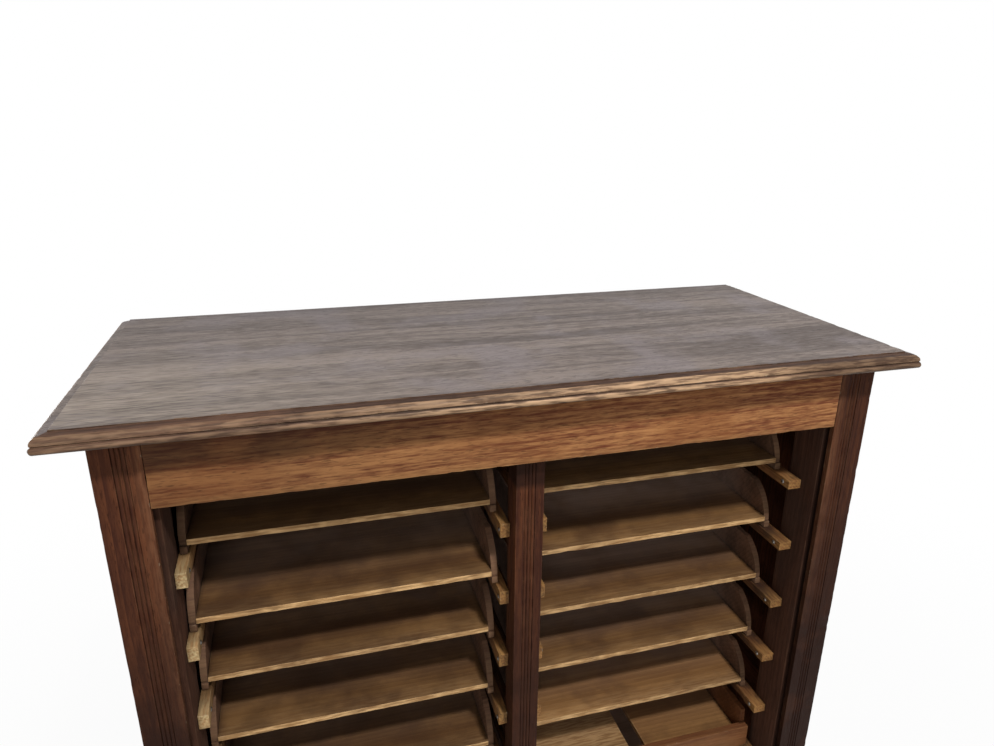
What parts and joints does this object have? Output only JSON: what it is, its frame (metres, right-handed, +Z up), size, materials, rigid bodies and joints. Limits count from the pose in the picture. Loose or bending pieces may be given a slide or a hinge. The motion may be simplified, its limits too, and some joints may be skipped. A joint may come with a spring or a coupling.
{
  "type": "notary cabinet",
  "caption": "Floor-standing wooden filing cabinet with columns of open sliding document trays behind a roller shutter that stores below and behind them.",
  "frame": {"origin": "centre of the footprint, on the floor", "axes": "+X to the viewer's right along the front, +Y from the front to the back, +Z up; the open front faces -Y"},
  "size_m": [1, 0.424, 1.25],
  "materials": {
    "top_wood": "worn satin, grey-brown oak",
    "frieze_wood": "satin varnish, golden-brown oak",
    "stile_wood": "satin varnish, dark brown oak",
    "carcass_wood": "satin varnish, brown oak",
    "inner_wood": "unfinished softwood, darkened with age",
    "runner_wood": "bare planed softwood",
    "tray_wood": "thin worn stain over softwood",
    "drawer_wood": "reddish-brown stain",
    "shutter_wood": "satin varnish, brown oak",
    "canvas": "coarse linen canvas, glued",
    "screw_steel": "dull steel"
  },
  "bodies": {
    "carcass": {"top_board": "top_wood", "frieze_rail": "frieze_wood", "sill_rail": "frieze_wood", "plinth_front": "frieze_wood", "plinth_sides": "frieze_wood", "front_stile_left": "stile_wood", "front_stile_right": "stile_wood", "centre_stile": "stile_wood", "rear_stile_left": "carcass_wood", "rear_stile_right": "carcass_wood", "side_rails_left": "carcass_wood", "side_rails_right": "carcass_wood", "side_panels_left": "carcass_wood", "side_panels_right": "carcass_wood", "back_rails": "carcass_wood", "back_panels": "carcass_wood", "front_bearers": "inner_wood", "rear_bearers": "inner_wood", "centre_rear_post": "inner_wood", "bottom_board": "inner_wood", "inner_back_board": "inner_wood", "track_soles": "inner_wood", "track_cores": "inner_wood", "top_cleats": "inner_wood", "runners_left_outer": "runner_wood", "runners_left_inner": "runner_wood", "runners_right_inner": "runner_wood", "runners_right_outer": "runner_wood", "runner_screws": "screw_steel", "top_screws": "screw_steel", "shutter_stored_slats": "shutter_wood", "shutter_stored_canvas": "canvas"},
    "shutter": {"shutter_lead_rail": "shutter_wood", "shutter_front_slats": "shutter_wood", "shutter_front_canvas": "canvas", "shutter_pulls": "shutter_wood", "pull_screws": "screw_steel"},
    "tray_left_01": {"tray_left_01": "tray_wood"},
    "tray_left_02": {"tray_left_02": "tray_wood"},
    "tray_left_03": {"tray_left_03": "tray_wood"},
    "tray_left_04": {"tray_left_04": "tray_wood"},
    "tray_left_05": {"tray_left_05": "tray_wood"},
    "tray_left_06": {"tray_left_06": "tray_wood"},
    "tray_left_07": {"tray_left_07": "tray_wood"},
    "tray_left_08": {"tray_left_08": "tray_wood"},
    "tray_left_09": {"tray_left_09": "tray_wood"},
    "tray_left_10": {"tray_left_10": "tray_wood"},
    "tray_right_01": {"tray_right_01": "tray_wood"},
    "tray_right_02": {"tray_right_02": "tray_wood"},
    "tray_right_03": {"tray_right_03": "tray_wood"},
    "tray_right_04": {"tray_right_04": "tray_wood"},
    "tray_right_05": {"tray_right_05": "tray_wood"},
    "drawer_right_06": {"drawer_right_06": "drawer_wood"},
    "tray_right_07": {"tray_right_07": "tray_wood"},
    "tray_right_08": {"tray_right_08": "tray_wood"},
    "tray_right_09": {"tray_right_09": "tray_wood"},
    "tray_right_10": {"tray_right_10": "tray_wood"}
  },
  "joints": [
    {"name": "shutter_slide", "type": "slide", "parent": "carcass", "child": "shutter", "axis": [0, 0, -1], "range_m": [-0.045, 0]},
    {"name": "tray_left_01_slide", "type": "slide", "parent": "carcass", "child": "tray_left_01", "axis": [0, -1, 0], "range_m": [-0.021, 0.199]},
    {"name": "tray_left_02_slide", "type": "slide", "parent": "carcass", "child": "tray_left_02", "axis": [0, -1, 0], "range_m": [-0.033, 0.187]},
    {"name": "tray_left_03_slide", "type": "slide", "parent": "carcass", "child": "tray_left_03", "axis": [0, -1, 0], "range_m": [-0.017, 0.203]},
    {"name": "tray_left_04_slide", "type": "slide", "parent": "carcass", "child": "tray_left_04", "axis": [0, -1, 0], "range_m": [-0.013, 0.207]},
    {"name": "tray_left_05_slide", "type": "slide", "parent": "carcass", "child": "tray_left_05", "axis": [0, -1, 0], "range_m": [-0.019, 0.201]},
    {"name": "tray_left_06_slide", "type": "slide", "parent": "carcass", "child": "tray_left_06", "axis": [0, -1, 0], "range_m": [-0.011, 0.209]},
    {"name": "tray_left_07_slide", "type": "slide", "parent": "carcass", "child": "tray_left_07", "axis": [0, -1, 0], "range_m": [-0.025, 0.195]},
    {"name": "tray_left_08_slide", "type": "slide", "parent": "carcass", "child": "tray_left_08", "axis": [0, -1, 0], "range_m": [-0.007, 0.213]},
    {"name": "tray_left_09_slide", "type": "slide", "parent": "carcass", "child": "tray_left_09", "axis": [0, -1, 0], "range_m": [-0.015, 0.205]},
    {"name": "tray_left_10_slide", "type": "slide", "parent": "carcass", "child": "tray_left_10", "axis": [0, -1, 0], "range_m": [-0.009, 0.211]},
    {"name": "tray_right_01_slide", "type": "slide", "parent": "carcass", "child": "tray_right_01", "axis": [0, -1, 0], "range_m": [-0.011, 0.209]},
    {"name": "tray_right_02_slide", "type": "slide", "parent": "carcass", "child": "tray_right_02", "axis": [0, -1, 0], "range_m": [-0.005, 0.215]},
    {"name": "tray_right_03_slide", "type": "slide", "parent": "carcass", "child": "tray_right_03", "axis": [0, -1, 0], "range_m": [-0.004, 0.216]},
    {"name": "tray_right_04_slide", "type": "slide", "parent": "carcass", "child": "tray_right_04", "axis": [0, -1, 0], "range_m": [-0.003, 0.217]},
    {"name": "tray_right_05_slide", "type": "slide", "parent": "carcass", "child": "tray_right_05", "axis": [0, -1, 0], "range_m": [-0.004, 0.216]},
    {"name": "drawer_right_06_slide", "type": "slide", "parent": "carcass", "child": "drawer_right_06", "axis": [0, -1, 0], "range_m": [-0.028, 0.192]},
    {"name": "tray_right_07_slide", "type": "slide", "parent": "carcass", "child": "tray_right_07", "axis": [0, -1, 0], "range_m": [-0.006, 0.214]},
    {"name": "tray_right_08_slide", "type": "slide", "parent": "carcass", "child": "tray_right_08", "axis": [0, -1, 0], "range_m": [-0.012, 0.208]},
    {"name": "tray_right_09_slide", "type": "slide", "parent": "carcass", "child": "tray_right_09", "axis": [0, -1, 0], "range_m": [-0.005, 0.215]},
    {"name": "tray_right_10_slide", "type": "slide", "parent": "carcass", "child": "tray_right_10", "axis": [0, -1, 0], "range_m": [-0.008, 0.212]}
  ]
}
